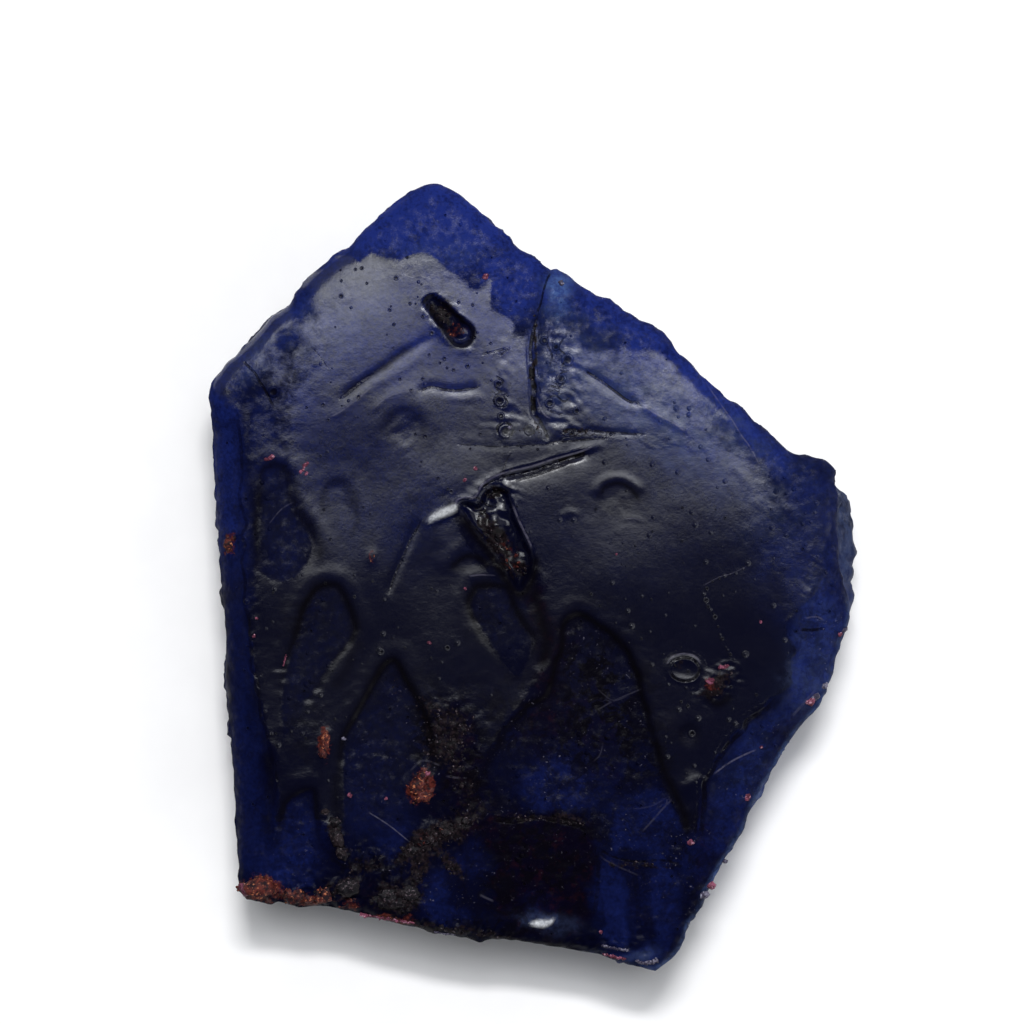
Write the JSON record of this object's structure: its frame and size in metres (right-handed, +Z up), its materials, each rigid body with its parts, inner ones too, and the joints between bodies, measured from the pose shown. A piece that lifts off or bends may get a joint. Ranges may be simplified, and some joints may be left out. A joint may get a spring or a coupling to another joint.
{
  "type": "rough sapphire",
  "caption": "Rough sapphire crystal: a dark blue five-sided slab with a glossy melted-looking skin, broken edges and rusty crust, lying flat.",
  "frame": {"origin": "under the middle of the stone's bounding box, on the flat underside that it rests on", "axes": "+Y along the stone's long way, towards its pointed end; +Z up, through its thickness; +X towards the side with the chipped facet"},
  "size_m": [0.0515, 0.0621, 0.0097],
  "materials": {
    "sapphire_blue": "glossy dark blue crystal skin with matt bare edges and rust-brown crust"
  },
  "bodies": {
    "root": {"sapphire": "sapphire_blue"}
  },
  "joints": []
}
